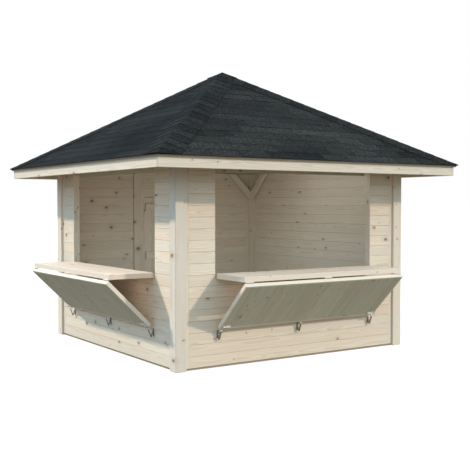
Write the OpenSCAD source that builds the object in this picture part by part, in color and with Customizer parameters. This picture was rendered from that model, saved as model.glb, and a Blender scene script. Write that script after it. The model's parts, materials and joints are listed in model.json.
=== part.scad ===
// Square garden kiosk of spruce: four corner posts, boarded wall panels, a pyramid roof,
// two serving hatches whose counters fold up into their openings, and a door at the back.
// Millimetres. Origin on the ground at the centre of the plan, front towards -Y, left towards -X.

/* [Plan] */
// Outside width of the square plan, across the corner posts
plan_w = 2950; // [2700:10:3400]
// Side of a square corner post
post_w = 120; // [100:2:150]
// Thickness of a wall's boards
wall_t = 28; // [20:1:45]
// Distance of the wall boards behind the posts' faces
recess = 25; // [10:1:40]

/* [Levels] */
// Height of the sleepers that keep the wall panels off the ground
sleeper_h = 20; // [10:1:40]
// Width of a sleeper
sleeper_w = 50; // [40:2:60]
// Distance of a sleeper behind the wall boards' faces
sleeper_set = 10; // [4:1:20]
// Height of a floor joist
joist_h = 45; // [30:1:60]
// Width of a floor joist
joist_w = 45; // [30:1:60]
// Number of floor joists
joist_count = 5; // [3:1:9]
// Thickness of the floor boards
floor_t = 19; // [16:1:28]
// Top of the wall panel under a serving opening
sill_z = 862; // [800:2:920]
// Underside of the beams on the posts
beam_z = 2030; // [1980:2:2080]
// Height of a beam
beam_h = 136; // [110:1:160]
// Width of a beam
beam_w = 90; // [80:1:98]
// Run of a knee brace along the beam and down the post
brace_run = 365; // [300:5:420]
// Width of a knee brace
brace_w = 85; // [60:1:110]
// Thickness of a knee brace
brace_t = 45; // [30:1:55]

/* [Serving hatches] */
// Width of a serving opening
hatch_w = 2030; // [1800:10:2100]
// Width of the stud behind the boards at each side of a serving opening
stud_w = 45; // [35:1:60]
// Depth of that stud
stud_d = 48; // [35:1:60]
// Gap between a folded-up hatch and the sides of its opening
hatch_play = 6; // [5:0.5:12]
// Gap between a folded-up hatch and the beam over it
head_play = 10; // [8:0.5:16]
// Depth of a counter
counter_l = 480; // [440:2:510]
// Thickness of a counter
counter_t = 50; // [40:1:56]
// Thickness of a flap
flap_t = 40; // [30:1:46]
// Distance of a lowered flap's foot from the wall boards
foot_gap = 33; // [20:1:50]
// Distance of each end hook from the end of the flap
hook_inset = 20; // [16:1:80]
// Width of a hook
hook_w = 20; // [14:1:30]
// Thickness of a hook's strip
hook_t = 4; // [3:0.5:6]
// Depth of a hook's cradle
hook_depth = 80; // [60:1:110]
// Drop from a lowered flap's lowest edge to the lip of its hooks
hook_drop = 15; // [12:1:25]

/* [Hatch and door hardware] */
// Gap that a hinge's knuckles stand in
hinge_gap = 16; // [15:0.5:24]
// Outside diameter of a hinge knuckle
knuckle_d = 13; // [10:0.5:14]
// Diameter of a hinge pin
pin_d = 6; // [4:0.5:7]
// Radial play of a knuckle on its pin
pin_play = 0.35; // [0.3:0.05:0.6]
// Gap between neighbouring knuckles
knuckle_gap = 0.8; // [0.5:0.1:1.5]
// Length of a hatch hinge
hinge_l = 90; // [60:2:120]
// Width of a hinge leaf, from the edge of the wood
leaf_w = 45; // [30:1:60]
// Thickness of a hinge leaf
leaf_t = 2.5; // [2:0.1:3]
// Gap between a folded hinge's axis and each of its leaves
leaf_play = 0.5; // [0.3:0.1:1]
// Distance of an end hinge's middle from the end of the counter, at the sill
sill_hinge_inset = 330; // [200:5:600]
// Distance of an end hinge's middle from the end of the counter, at its outer edge
edge_hinge_inset = 60; // [50:1:200]
// Length of a bolt's rod
bolt_l = 95; // [60:1:140]
// Diameter of a bolt's rod
bolt_d = 11; // [8:0.5:16]
// Depth that a bolt's rod is let into its plate
rod_seat = 1; // [0.5:0.1:1.5]
// Length of a keeper round a bolt's rod
keeper_l = 10; // [6:1:16]
// Thickness of a keeper round a bolt's rod
keeper_t = 2.5; // [1.5:0.5:4]
// Height of a bolt's plate
bolt_plate_h = 34; // [24:1:50]
// Thickness of a bolt's plate
bolt_plate_t = 3; // [2:0.5:5]
// Distance of a bolt's plate from the edges of its flap
bolt_inset = 18; // [10:1:60]

/* [Door] */
// Width of the doorway
door_w = 624; // [560:2:760]
// Top of the doorway
door_top = 1692; // [1640:2:1800]
// Width of a door post
door_post_w = 143; // [80:1:180]
// Thickness of a door post, over the floor
door_post_t = 45; // [32:1:60]
// Thickness of the door leaf
door_t = 28; // [22:1:40]
// Gap round the door leaf
door_play = 6; // [5:0.5:10]
// Height of a ledge on the inside of the door
ledge_h = 95; // [70:1:120]
// Thickness of a ledge
ledge_t = 20; // [14:1:28]
// Lower edge of the middle ledge
ledge_mid_z = 888; // [800:1:980]
// Distance of the outer ledges from the ends of the door
ledge_end = 70; // [40:1:120]
// Distance of a ledge's ends from the edges of the door
ledge_side = 25; // [10:1:60]
// Length of a strap on the door
strap_l = 330; // [200:5:450]
// Height of a strap
strap_h = 36; // [28:1:50]
// Thickness of a strap
strap_t = 4; // [3:0.5:5]
// Length of the strap plate on the door post
strap_plate_l = 70; // [50:1:78]
// Gap between the middle ledge and the pull handles
handle_gap = 30; // [15:1:80]
// Length of the pull handle
handle_l = 160; // [120:5:220]
// Diameter of the pull handle's bar
handle_d = 14; // [10:1:20]
// Distance of the handle's bar from the door
handle_reach = 38; // [30:1:60]
// Distance of the handle from the door's free edge
handle_inset = 65; // [40:1:120]

/* [Roof] */
// Pitch of the roof in degrees
roof_pitch = 30.2; // [27:0.1:34]
// Overhang from a post's face to the fascia's face
eave_out = 406; // [330:2:480]
// Overhang of the roof covering beyond the fascia
drip = 38; // [20:1:50]
// Height of a fascia board
fascia_h = 108; // [90:1:150]
// Thickness of a fascia board
fascia_t = 20; // [16:1:28]
// Thickness of the roof boards
deck_t = 18; // [14:0.5:24]
// Thickness of the shingle covering
cover_t = 4; // [3:0.5:8]
// Height of a rafter
rafter_h = 95; // [70:1:110]
// Width of a rafter
rafter_w = 45; // [35:1:60]
// Spacing of the rafters
rafter_step = 700; // [600:5:800]
// Width of a hip rafter
hip_w = 60; // [45:1:80]
// Shoulder of the king block beside a hip rafter
king_shoulder = 5; // [3:0.5:12]
// Length of the king block under the peak
king_l = 190; // [150:5:260]

/* [Hidden] */
$fn = 48;
// Room left when a cutter passes right through what it cuts
through = 1;

// Turns about +Z that bring a piece made for the front to the other sides
turn = [["front", 0], ["left", -90], ["back", 180], ["right", 90]];
function turn_of(side) = turn[search([side], turn)[0]][1];

// Faces of the walls, posts and beams, as distances from the centre of the plan
half_plan = plan_w / 2;
wall_face = half_plan - recess;
wall_inner = wall_face - wall_t;
sleeper_outer = wall_face - sleeper_set;
sleeper_inner = sleeper_outer - sleeper_w;
post_inner = half_plan - post_w;
beam_outer = half_plan - (post_w - beam_w) / 2;
beam_inner = beam_outer - beam_w;
half_hatch = hatch_w / 2;
half_door = door_w / 2;
door_frame = half_door + door_post_w;
floor_z = joist_h + floor_t;

// Hatch: the sill hinge's axis is the origin of the hatch's own frame, outwards is -Y
knuckle_room = hinge_gap / 2;
hinge_stand = leaf_t + leaf_play;
pivot_z = sill_z + knuckle_room;
counter_w = hatch_w - 2 * hatch_play;
edge_y = counter_l + hinge_gap;
flap_l = beam_z - head_play - pivot_z - counter_l - 3 * knuckle_room;
flap_reach = knuckle_room + flap_l;
flap_slope = acos((edge_y + hinge_stand - foot_gap) / norm([flap_reach, hinge_stand]))
    - atan(hinge_stand / flap_reach);
flap_fold = 180 - flap_slope;
sill_hinge_places = [-1, 0, 1] * (counter_w / 2 - sill_hinge_inset);
edge_hinge_places = [-1, 0, 1] * (counter_w / 2 - edge_hinge_inset);
hook_places = [-1, 0, 1] * (counter_w / 2 - hook_inset);
// Lowest edge of a lowered flap: distance from the wall boards, and height over the sill hinge
toe_out = foot_gap + flap_t * sin(flap_slope);
toe_up = -flap_reach * sin(flap_slope) - (hinge_stand + flap_t) * cos(flap_slope);

// Door: its hinge axis stands just outside the wall face, in the gap beside the leaf
door_axis_x = -half_door + door_play / 2;
door_axis_y = wall_face + knuckle_d / 2 + pin_play;
leaf_x0 = -half_door + door_play;
leaf_bottom = floor_z + door_play;
leaf_top = door_top - door_play;
leaf_inner = wall_face - door_t;
handle_z = ledge_mid_z + ledge_h + handle_gap + handle_l / 2;
strap_levels = [leaf_bottom + ledge_end + ledge_h / 2, leaf_top - ledge_end - ledge_h / 2];

// Roof: heights follow from the rafters, which rest on the beams' outer edges
fascia_outer = half_plan + eave_out;
fascia_inner = fascia_outer - fascia_t;
eave_half = fascia_outer + drip;
hip_pitch = atan(tan(roof_pitch) / sqrt(2));
rafter_drop = rafter_h / cos(roof_pitch);
hip_backing = tan(roof_pitch) * hip_w / (2 * sqrt(2));
hip_h = (rafter_drop - hip_backing) * cos(hip_pitch);
deck_peak = beam_z + beam_h + rafter_drop + tan(roof_pitch) * beam_outer;
apex_z = deck_peak + (deck_t + cover_t) / cos(roof_pitch);
king_half = hip_w / 2 + king_shoulder;
function deck_under(out) = deck_peak - tan(roof_pitch) * out;

spruce = "#e6dac3";
shade_spruce = "#cdbb9c";
sawn_spruce = "#bda884";
slate = "#3a3f42";
zinc = "#b9bdbf";

// Shapes that repeat

// Brings what is made for the front wall round to another side
module on_side(side) {
    rotate([0, 0, turn_of(side)]) children();
}

// A stretch of wall panel, in the front wall's place
module wall_piece(x0, x1, z0, z1) {
    translate([x0, -wall_face, z0]) cube([x1 - x0, wall_t, z1 - z0]);
}

// A board or beam that runs along the front, between two distances from the centre
module front_run(half_l, inner, outer, z0, z1) {
    translate([-half_l, -outer, z0]) cube([2 * half_l, outer - inner, z1 - z0]);
}

// One layer of the front roof slope, mitred at the hips, depth measured square to the slope
module slope_layer(depth, thick) {
    slope_l = (eave_half + depth + thick) / cos(roof_pitch);
    intersection() {
        linear_extrude(apex_z + through) polygon([[0, 0], [-eave_half, -eave_half], [eave_half, -eave_half]]);
        translate([0, 0, apex_z]) rotate([roof_pitch, 0, 0])
            translate([-eave_half, -slope_l, -depth - thick]) cube([2 * eave_half, slope_l, thick]);
    }
}

// Puts a piece made in the hatch's own frame on its wall
module on_hatch(side) {
    on_side(side) translate([0, -wall_face - hinge_stand, pivot_z]) children();
}

// Puts a piece made for an unfolded flap at the counter's edge, folded down to its hooks
module on_lowered_flap() {
    translate([0, -edge_y, 0]) rotate([flap_fold, 0, 0]) children();
}

// The half of a hinge that carries the pin: two end knuckles and a leaf towards -Z on a face at +Y
module pin_leaf() {
    third = hinge_l / 3;
    rotate([0, 90, 0]) cylinder(d = pin_d, h = hinge_l, center = true);
    for (s = [-1, 1]) {
        translate([s * third, 0, 0]) {
            rotate([0, 90, 0]) cylinder(d = knuckle_d, h = third - knuckle_gap, center = true);
            translate([-(third - knuckle_gap) / 2, leaf_play, -knuckle_room])
                cube([third - knuckle_gap, leaf_t, knuckle_room]);
        }
    }
    translate([-hinge_l / 2, leaf_play, -knuckle_room - leaf_w]) cube([hinge_l, leaf_t, leaf_w]);
}

// The half of a hinge that turns: the middle knuckle and a leaf towards -Y on a face at +Z
module turning_leaf() {
    middle = hinge_l / 3 - knuckle_gap;
    difference() {
        union() {
            rotate([0, 90, 0]) cylinder(d = knuckle_d, h = middle, center = true);
            translate([-middle / 2, -knuckle_room, leaf_play]) cube([middle, knuckle_room, leaf_t]);
            translate([-hinge_l / 2, -knuckle_room - leaf_w, leaf_play]) cube([hinge_l, leaf_w, leaf_t]);
        }
        rotate([0, 90, 0]) cylinder(d = pin_d + 2 * pin_play, h = hinge_l, center = true);
    }
}

// A V-shaped cradle of bent strip on the wall, with its plate
module hook() {
    lip_z = toe_up - hook_drop;
    low_z = lip_z - hook_depth;
    low_y = -toe_out / 2;
    strip_h = hook_t / sin(atan2(toe_out / 2, hook_depth));
    rotate([90, 0, 90]) translate([hinge_stand, 0, -hook_w / 2]) linear_extrude(hook_w) {
        polygon([
            [0, lip_z], [low_y, low_z], [-toe_out, lip_z],
            [-toe_out, lip_z - strip_h], [low_y, low_z - strip_h], [0, lip_z - strip_h]
        ]);
        translate([-hook_t, low_z]) square([hook_t, hook_depth]);
    }
}

// A barrel bolt on the inner face of an unfolded flap, its plate's outer corner at the origin
module barrel_bolt() {
    rod_z = bolt_plate_t + bolt_d / 2 - rod_seat;
    keeper_w = bolt_d + 2 * keeper_t;
    cube([bolt_l, bolt_plate_h, bolt_plate_t]);
    translate([0, bolt_plate_h / 2, rod_z]) rotate([0, 90, 0]) cylinder(d = bolt_d, h = bolt_l);
    for (place = [1, 3, 5] / 6)
        translate([place * bolt_l - keeper_l / 2, (bolt_plate_h - keeper_w) / 2, 0])
            cube([keeper_l, keeper_w, rod_z + bolt_d / 2 + keeper_t]);
}

// Ground and floor

module ground_sleepers() {
    color(sawn_spruce)
        for (side = ["front", "left", "back", "right"])
            on_side(side) front_run(post_inner, sleeper_inner, sleeper_outer, 0, sleeper_h);
}

module floor_joists() {
    reach = sleeper_inner - joist_w;
    length = 2 * post_inner;
    color(sawn_spruce)
        for (i = [0 : joist_count - 1])
            translate([-reach + 2 * reach * i / (joist_count - 1) - joist_w / 2, -length / 2, 0])
                cube([joist_w, length, joist_h]);
}

module floor() {
    color(shade_spruce)
        translate([0, 0, joist_h]) linear_extrude(floor_t) difference() {
            square(2 * wall_inner, center = true);
            for (x = [-1, 1], y = [-1, 1])
                translate([x * (post_inner + post_w / 2), y * (post_inner + post_w / 2)])
                    square(post_w, center = true);
        }
}

module corner_posts() {
    color(spruce)
        for (x = [-1, 1], y = [-1, 1])
            translate([x * (half_plan - post_w / 2), y * (half_plan - post_w / 2), beam_z / 2])
                cube([post_w, post_w, beam_z], center = true);
}

// Walls

module front_apron() {
    color(spruce) wall_piece(-post_inner, post_inner, sleeper_h, sill_z);
}

module front_left_panel() {
    color(spruce) wall_piece(-post_inner, -half_hatch, sill_z, beam_z);
}

module front_right_panel() {
    color(spruce) wall_piece(half_hatch, post_inner, sill_z, beam_z);
}

module left_apron() {
    color(spruce) on_side("left") wall_piece(-post_inner, post_inner, sleeper_h, sill_z);
}

module left_front_panel() {
    color(spruce) on_side("left") wall_piece(half_hatch, post_inner, sill_z, beam_z);
}

module left_back_panel() {
    color(spruce) on_side("left") wall_piece(-post_inner, -half_hatch, sill_z, beam_z);
}

module right_wall() {
    color(spruce) on_side("right") wall_piece(-post_inner, post_inner, sleeper_h, beam_z);
}

module back_left_wall() {
    color(spruce) on_side("back") wall_piece(door_frame, post_inner, sleeper_h, beam_z);
}

module back_right_wall() {
    color(spruce) on_side("back") wall_piece(-post_inner, -door_frame, sleeper_h, beam_z);
}

// Studs on the floor, on the inside of the boards beside each serving opening
module hatch_studs() {
    color(spruce)
        for (side = ["front", "left"], x0 = [-half_hatch - stud_w, half_hatch])
            on_side(side) translate([x0, -wall_inner, floor_z]) cube([stud_w, stud_d, beam_z - floor_z]);
}

// Door posts, notched over the edge of the floor
module door_posts() {
    color(shade_spruce)
        for (x0 = [-door_frame, half_door])
            on_side("back") {
                wall_piece(x0, x0 + door_post_w, sleeper_h, beam_z);
                translate([x0, -wall_face, floor_z]) cube([door_post_w, door_post_t, beam_z - floor_z]);
            }
}

module over_door_panel() {
    color(spruce) on_side("back") wall_piece(-half_door, half_door, door_top, beam_z);
}

module threshold() {
    color(shade_spruce) on_side("back") wall_piece(-half_door, half_door, sleeper_h, floor_z);
}

// Beams and braces

module front_back_beams() {
    color(spruce)
        for (side = ["front", "back"])
            on_side(side) front_run(beam_outer, beam_inner, beam_outer, beam_z, beam_z + beam_h);
}

module side_beams() {
    color(spruce)
        for (side = ["left", "right"])
            on_side(side) front_run(beam_inner, beam_inner, beam_outer, beam_z, beam_z + beam_h);
}

module knee_braces() {
    foot = brace_w * sqrt(2);
    color(spruce)
        for (along_back = [0, 1])
            mirror([along_back, -along_back, 0])
                translate([post_inner, post_inner, beam_z]) rotate([90, 0, 90]) linear_extrude(brace_t)
                    polygon([[0, -brace_run], [0, foot - brace_run], [foot - brace_run, 0], [-brace_run, 0]]);
}

// Roof

module hip_rafters() {
    corner = fascia_inner * sqrt(2);
    length = corner / cos(hip_pitch) + hip_h;
    king_top = deck_under(king_half * sqrt(2));
    color(shade_spruce)
        rotate([0, 0, 45]) {
            for (turned = [0, 90, 180, 270])
                rotate([0, 0, turned]) intersection() {
                    linear_extrude(apex_z) polygon([
                        [-hip_w / 2, -king_half], [hip_w / 2, -king_half],
                        [hip_w / 2, hip_w / 2 - corner], [0, -corner], [-hip_w / 2, hip_w / 2 - corner]
                    ]);
                    translate([0, 0, deck_peak - hip_backing]) rotate([hip_pitch, 0, 0])
                        translate([-hip_w / 2, -length, -hip_h]) cube([hip_w, length, hip_h]);
                }
            translate([-king_half, -king_half, king_top - king_l])
                cube([2 * king_half, 2 * king_half, king_l]);
        }
}

module jack_rafters() {
    from_hip = hip_w / sqrt(2);
    run = fascia_inner - from_hip;
    depth = cover_t + deck_t + rafter_h;
    slope_l = (fascia_inner + depth) / cos(roof_pitch);
    color(shade_spruce)
        for (side = ["front", "left", "back", "right"], place = [-1.5, -0.5, 0.5, 1.5])
            on_side(side) intersection() {
                linear_extrude(apex_z)
                    polygon([[0, -from_hip], [-run, -fascia_inner], [run, -fascia_inner]]);
                translate([place * rafter_step, 0, apex_z]) rotate([roof_pitch, 0, 0])
                    translate([-rafter_w / 2, -slope_l, -depth]) cube([rafter_w, slope_l, rafter_h]);
            }
}

module front_back_fascia() {
    top = deck_under(fascia_outer);
    color(spruce)
        for (side = ["front", "back"])
            on_side(side) front_run(fascia_outer, fascia_inner, fascia_outer, top - fascia_h, top);
}

module side_fascia() {
    top = deck_under(fascia_outer);
    color(spruce)
        for (side = ["left", "right"])
            on_side(side) front_run(fascia_inner, fascia_inner, fascia_outer, top - fascia_h, top);
}

module roof_boards(side) {
    color(shade_spruce) on_side(side) slope_layer(cover_t, deck_t);
}

module shingles(side) {
    color(slate) on_side(side) slope_layer(0, cover_t);
}

// Serving hatches

module sill_hinges() {
    color(zinc)
        for (side = ["front", "left"], x = sill_hinge_places)
            on_hatch(side) translate([x, 0, 0]) pin_leaf();
}

module flap_hooks() {
    color(zinc)
        for (side = ["front", "left"], x = hook_places)
            on_hatch(side) translate([x, 0, 0]) hook();
}

module counter(side) {
    color(spruce) on_hatch(side)
        translate([-counter_w / 2, -knuckle_room - counter_l, hinge_stand])
            cube([counter_w, counter_l, counter_t]);
}

module counter_hinges(side) {
    color(zinc) on_hatch(side) {
        for (x = sill_hinge_places)
            translate([x, 0, 0]) turning_leaf();
        for (x = edge_hinge_places)
            translate([x, -edge_y, 0]) rotate([90, 0, 0]) pin_leaf();
    }
}

module flap(side) {
    color(shade_spruce) on_hatch(side) on_lowered_flap()
        translate([-counter_w / 2, -flap_reach, hinge_stand]) cube([counter_w, flap_l, flap_t]);
}

module flap_hardware(side) {
    color(zinc) on_hatch(side) on_lowered_flap() {
        for (x = edge_hinge_places)
            translate([x, 0, 0]) turning_leaf();
        for (end = [0, 1])
            mirror([end, 0, 0])
                translate([-counter_w / 2 + bolt_inset, -flap_reach + bolt_inset, hinge_stand + flap_t])
                    barrel_bolt();
    }
}

// Door

module door_leaf() {
    color(spruce)
        translate([leaf_x0, leaf_inner, leaf_bottom])
            cube([door_w - 2 * door_play, door_t, leaf_top - leaf_bottom]);
}

module door_ledges() {
    levels = [leaf_bottom + ledge_end, ledge_mid_z, leaf_top - ledge_end - ledge_h];
    color(shade_spruce)
        for (z = levels)
            translate([leaf_x0 + ledge_side, leaf_inner - ledge_t, z])
                cube([door_w - 2 * door_play - 2 * ledge_side, ledge_t, ledge_h]);
}

module door_straps() {
    middle = strap_h / 3 - knuckle_gap;
    color(zinc)
        for (z = strap_levels)
            translate([door_axis_x, door_axis_y, z]) difference() {
                union() {
                    cylinder(d = knuckle_d, h = middle, center = true);
                    translate([0, wall_face - door_axis_y, -middle / 2]) cube([door_play, strap_t, middle]);
                    translate([door_play, wall_face - door_axis_y, -strap_h / 2]) cube([strap_l, strap_t, strap_h]);
                }
                cylinder(d = pin_d + 2 * pin_play, h = strap_h, center = true);
            }
}

module door_strap_plates() {
    third = strap_h / 3;
    color(zinc)
        for (z = strap_levels)
            translate([door_axis_x, door_axis_y, z]) {
                cylinder(d = pin_d, h = strap_h, center = true);
                for (s = [-1, 1])
                    translate([0, 0, s * third]) {
                        cylinder(d = knuckle_d, h = third - knuckle_gap, center = true);
                        translate([-door_play, wall_face - door_axis_y, -(third - knuckle_gap) / 2])
                            cube([door_play, strap_t, third - knuckle_gap]);
                    }
                translate([-door_play - strap_plate_l, wall_face - door_axis_y, -strap_h / 2])
                    cube([strap_plate_l, strap_t, strap_h]);
            }
}

module door_handle() {
    x = -leaf_x0 - handle_inset;
    color(zinc)
        for (face = [[wall_face, 1], [leaf_inner, -1]])
            translate([x, face[0], handle_z]) scale([1, face[1], 1]) {
                for (s = [-1, 1])
                    translate([0, 0, s * (handle_l / 2 - handle_d)]) rotate([-90, 0, 0])
                        cylinder(d = handle_d, h = handle_reach);
                translate([0, handle_reach, 0]) cylinder(d = handle_d, h = handle_l, center = true);
            }
}

ground_sleepers();
floor_joists();
floor();
corner_posts();
front_apron();
front_left_panel();
front_right_panel();
left_apron();
left_front_panel();
left_back_panel();
right_wall();
back_left_wall();
back_right_wall();
hatch_studs();
door_posts();
over_door_panel();
threshold();
front_back_beams();
side_beams();
knee_braces();
hip_rafters();
jack_rafters();
front_back_fascia();
side_fascia();
roof_boards("front");  // front_roof_boards
roof_boards("left");  // left_roof_boards
roof_boards("back");  // back_roof_boards
roof_boards("right");  // right_roof_boards
shingles("front");  // front_shingles
shingles("left");  // left_shingles
shingles("back");  // back_shingles
shingles("right");  // right_shingles
sill_hinges();
flap_hooks();
counter("front");  // front_counter
counter_hinges("front");  // front_counter_hinges
flap("front");  // front_flap
flap_hardware("front");  // front_flap_hardware
counter("left");  // left_counter
counter_hinges("left");  // left_counter_hinges
flap("left");  // left_flap
flap_hardware("left");  // left_flap_hardware
door_leaf();
door_ledges();
door_straps();
door_strap_plates();
door_handle();
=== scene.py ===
"""Looks of a square garden kiosk of bare spruce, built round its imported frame.

Lengths are metres. The front wall faces -Y, the left wall -X, and the back wall with its door +Y.
Every plank is made along, across and out of its own face, and keeps its place in a log for the grain.
"""
import json
import math
import random

import bmesh
import bpy
from mathutils import Matrix, Vector, noise


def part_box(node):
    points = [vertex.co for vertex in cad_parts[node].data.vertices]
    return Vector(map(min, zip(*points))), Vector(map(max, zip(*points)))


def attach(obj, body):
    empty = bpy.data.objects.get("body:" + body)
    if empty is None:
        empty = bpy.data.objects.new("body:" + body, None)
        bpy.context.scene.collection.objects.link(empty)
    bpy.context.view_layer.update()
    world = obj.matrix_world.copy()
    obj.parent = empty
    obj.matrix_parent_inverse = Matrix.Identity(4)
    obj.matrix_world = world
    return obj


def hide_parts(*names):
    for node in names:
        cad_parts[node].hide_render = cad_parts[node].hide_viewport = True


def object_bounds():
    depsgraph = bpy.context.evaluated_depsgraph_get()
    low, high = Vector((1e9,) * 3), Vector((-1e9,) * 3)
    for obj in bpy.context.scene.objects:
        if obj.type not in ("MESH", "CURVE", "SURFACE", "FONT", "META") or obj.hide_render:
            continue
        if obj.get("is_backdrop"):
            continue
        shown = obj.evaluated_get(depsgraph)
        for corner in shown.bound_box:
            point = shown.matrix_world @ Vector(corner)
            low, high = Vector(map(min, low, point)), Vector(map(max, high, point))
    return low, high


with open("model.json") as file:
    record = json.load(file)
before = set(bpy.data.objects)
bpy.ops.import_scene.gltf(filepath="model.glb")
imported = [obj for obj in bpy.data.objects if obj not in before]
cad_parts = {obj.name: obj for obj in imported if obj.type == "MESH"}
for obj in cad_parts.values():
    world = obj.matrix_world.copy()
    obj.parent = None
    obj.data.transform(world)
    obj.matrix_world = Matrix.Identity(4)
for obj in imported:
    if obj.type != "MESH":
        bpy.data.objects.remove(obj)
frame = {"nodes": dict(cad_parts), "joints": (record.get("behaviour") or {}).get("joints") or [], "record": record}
CAD_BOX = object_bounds()

# Timber
BOARD_COVER = 0.112
GROOVE_W = 0.0025
GROOVE_D = 0.006
INNER_GROOVE_W = 0.0014
INNER_GROOVE_D = 0.004
STILE_W = 0.040
LINING_T = 0.006
EASE = 0.002
ROUNDED = 0.003
TIGHT = 0.0006
FLOOR_BOARD = 0.0903
DECK_BOARD = 0.096
PANEL_BOARD = 0.096
PANEL_JOINT = 0.0012
RIM_W = 0.018

# Eased edges of hinges and bolts, and of the other steel
HINGE_EASE = 0.0004
STEEL_EASE = 0.0006

# Shingles
EXPOSURE = 0.1425
TAB_W = 0.333
TAB_SLOT = 0.008
TAB_LAP = 0.155
TAB_T = 0.003
TAB_LIFT = 0.0042
# How far a tab curls up, as a share of its lift
TAB_CURL = (0.7, 1.3)
# How far the lowest tabs lie back from the eave, the starter strip from them, and the deck from the eave
EAVE_SET = 0.002
STARTER_SET = 0.006
DECK_SET = 0.022
# Length of the sheet of granules that tabs and caps are cut from
SHEET_RUN = 9
CAP_WING = 0.195
CAP_TRIM = 0.008
CAP_L = 0.21
CAP_EXPOSURE = 0.145
CAP_LIFT = 0.0045
CAP_FOLD = 0.012
# Height of a cap's under face over the slope, from edge to edge over its fold
CAP_BED = (0.0005, 0.0045, 0.0055, 0.0035, 0.0055, 0.0045, 0.0005)
CAP_TONES = (0.5, 1.15)
PEAK_CAP_W = 0.12
PEAK_CAP_RISE = 0.0115
PEAK_CAP_TONE = 0.9

# Where a log may be cut: distance along it, and how far its pith lies from a plank's middle
LOG_RUN = 60
PITH_SIDE = 0.05
PITH_NEAR = 0.045
PITH_FAR = 0.11

# Camera
EYE = Vector((-5.320, -8.246, 1.579))
HEADING = math.radians(56.28)
DIP = math.radians(-1.984)
LENS = 63.25
SENSOR = 36
CLIP_END = 300

# Light
SUN_LEFT = Vector((1, -0.88, -1.2))
SUN_FRONT = Vector((-0.64, 1, -0.75))
SUN_LEFT_POWER = 3.0
SUN_FRONT_POWER = 1.72
SUN_COLOUR = (1, 0.87, 0.75)
SUN_SPREAD = math.radians(2.5)
SKY_LEFT = (0.84, 1.21, 1.58, 1)
SKY_RIGHT = (0.95, 1.21, 1.40, 1)
GROUND_GLOW = (0.28, 0.25, 0.19, 1)
# Where the sky turns from left to right, and from the ground up
SKY_TURN = (-0.8, 0.8)
HORIZON = (-0.15, 0.25)
ROOM_GLOW_COLOUR = (0.73, 0.82, 0.87)
ROOM_GLOW_RADIUS = 0.8
ROOM_GLOW_POWER = 20.2
ROOM_GLOW_PLACE = (0.15, 0, 1.05)
# Light along the top of the right wall's inside
WASH_POWER = 1.7
WASH_PLACE = (0.8, -0.55, 1.9)
WASH_W = 1.6
WASH_H = 0.4
# Light that reaches in under the counters, from their hinges: along, out and up
COUNTER_GLOW_POWER = 0.38
COUNTER_GLOW_COLOUR = (1, 0.88, 0.78)
COUNTER_GLOW_RADIUS = 0.1
COUNTER_GLOW_PLACES = {"front": (-0.7, -0.24, -0.22), "left": (0.7, -0.24, -0.22)}
WHITE = (1, 1, 1, 1)
GROUND_REACH = 120
GROUND_COLOUR = (0.12, 0.12, 0.12, 1)
GROUND_LIGHT = (0.9, 0.9, 0.9, 1)


# Shader maths

class Socket:
    """A node's output that Python's operators work on: each one adds a Math node to its tree."""

    def __init__(self, nodes, output):
        self.nodes = nodes
        self.output = output

    def other(self, name):
        """Another output of the same node."""
        return Socket(self.nodes, self.nodes.find(self.output.node.outputs, name))

    def math(self, operation, *values):
        return self.nodes.node("Math", {"operation": operation}, dict(enumerate(values)))

    def __add__(self, value):
        return self.math("ADD", self, value)

    def __radd__(self, value):
        return self.math("ADD", value, self)

    def __sub__(self, value):
        return self.math("SUBTRACT", self, value)

    def __rsub__(self, value):
        return self.math("SUBTRACT", value, self)

    def __mul__(self, value):
        return self.math("MULTIPLY", self, value)

    def __rmul__(self, value):
        return self.math("MULTIPLY", value, self)

    def __truediv__(self, value):
        return self.math("DIVIDE", self, value)

    def __pow__(self, value):
        return self.math("POWER", self, value)

    def __mod__(self, value):
        return self.math("FLOORED_MODULO", self, value)

    def __gt__(self, value):
        return self.math("GREATER_THAN", self, value)


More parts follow.
